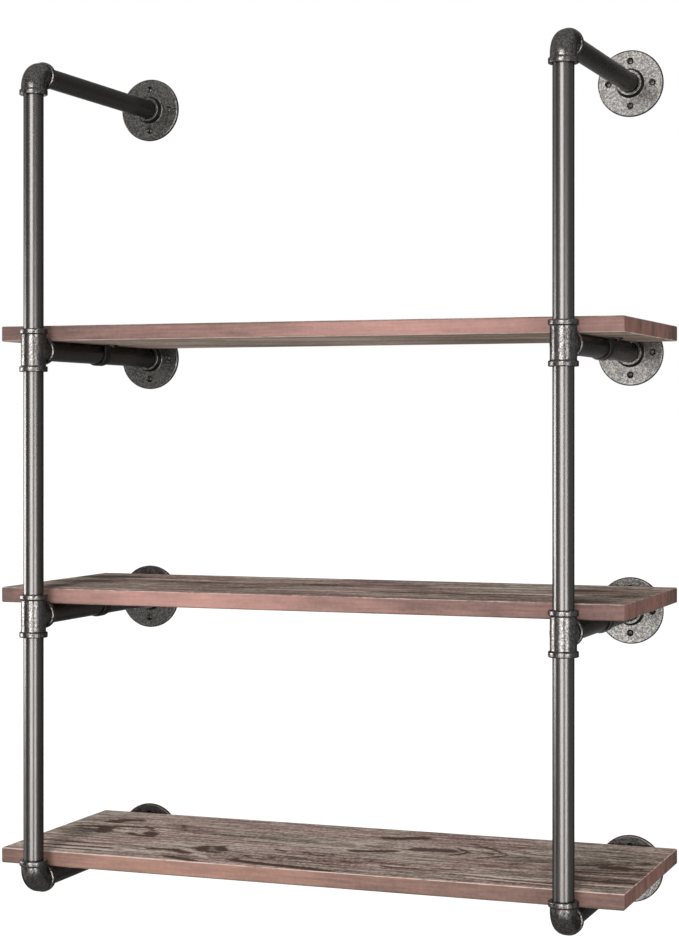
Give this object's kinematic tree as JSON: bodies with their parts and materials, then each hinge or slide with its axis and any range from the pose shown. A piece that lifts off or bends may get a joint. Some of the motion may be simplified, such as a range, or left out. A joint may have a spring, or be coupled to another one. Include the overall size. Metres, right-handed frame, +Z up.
{
  "type": "pipe shelving unit",
  "caption": "Wall-mounted shelving unit: columns of dark threaded pipe stand out on flanged arms and carry weathered wooden boards, each held down by pipe straps.",
  "frame": {"origin": "on the wall plane, midway between the two columns, at the height of the lowest arms' axes", "axes": "+Z up, +Y into the wall (the unit stands out along -Y), +X along the boards to the viewer's right"},
  "size_m": [0.86, 0.3819, 1.165],
  "materials": {
    "pipe_steel": "satin dark gunmetal paint on drawn steel pipe",
    "fitting_iron": "dark hammered paint on cast elbows and tees",
    "flange_iron": "grey hammered paint on cast wall flanges",
    "strap_steel": "near-black paint on pressed steel straps",
    "screw_steel": "black phosphate on pan-head wood screws",
    "board_wood": "weathered grey-brown planks with warmer red-brown edges"
  },
  "bodies": {
    "root": {"bottom_board": "board_wood", "middle_board": "board_wood", "upper_board": "board_wood", "left_bottom_upright": "pipe_steel", "left_middle_upright": "pipe_steel", "left_upper_upright": "pipe_steel", "right_bottom_upright": "pipe_steel", "right_middle_upright": "pipe_steel", "right_upper_upright": "pipe_steel", "left_bottom_arm": "pipe_steel", "left_middle_arm": "pipe_steel", "left_upper_arm": "pipe_steel", "left_top_arm": "pipe_steel", "right_bottom_arm": "pipe_steel", "right_middle_arm": "pipe_steel", "right_upper_arm": "pipe_steel", "right_top_arm": "pipe_steel", "left_bottom_elbow": "fitting_iron", "left_middle_tee": "fitting_iron", "left_upper_tee": "fitting_iron", "left_top_elbow": "fitting_iron", "right_bottom_elbow": "fitting_iron", "right_middle_tee": "fitting_iron", "right_upper_tee": "fitting_iron", "right_top_elbow": "fitting_iron", "left_bottom_flange": "flange_iron", "left_middle_flange": "flange_iron", "left_upper_flange": "flange_iron", "left_top_flange": "flange_iron", "right_bottom_flange": "flange_iron", "right_middle_flange": "flange_iron", "right_upper_flange": "flange_iron", "right_top_flange": "flange_iron", "left_bottom_strap": "strap_steel", "left_middle_strap": "strap_steel", "left_upper_strap": "strap_steel", "right_bottom_strap": "strap_steel", "right_middle_strap": "strap_steel", "right_upper_strap": "strap_steel", "left_bottom_strap_screw_left": "screw_steel", "left_bottom_strap_screw_right": "screw_steel", "left_middle_strap_screw_left": "screw_steel", "left_middle_strap_screw_right": "screw_steel", "left_upper_strap_screw_left": "screw_steel", "left_upper_strap_screw_right": "screw_steel", "right_bottom_strap_screw_left": "screw_steel", "right_bottom_strap_screw_right": "screw_steel", "right_middle_strap_screw_left": "screw_steel", "right_middle_strap_screw_right": "screw_steel", "right_upper_strap_screw_left": "screw_steel", "right_upper_strap_screw_right": "screw_steel"}
  },
  "joints": []
}
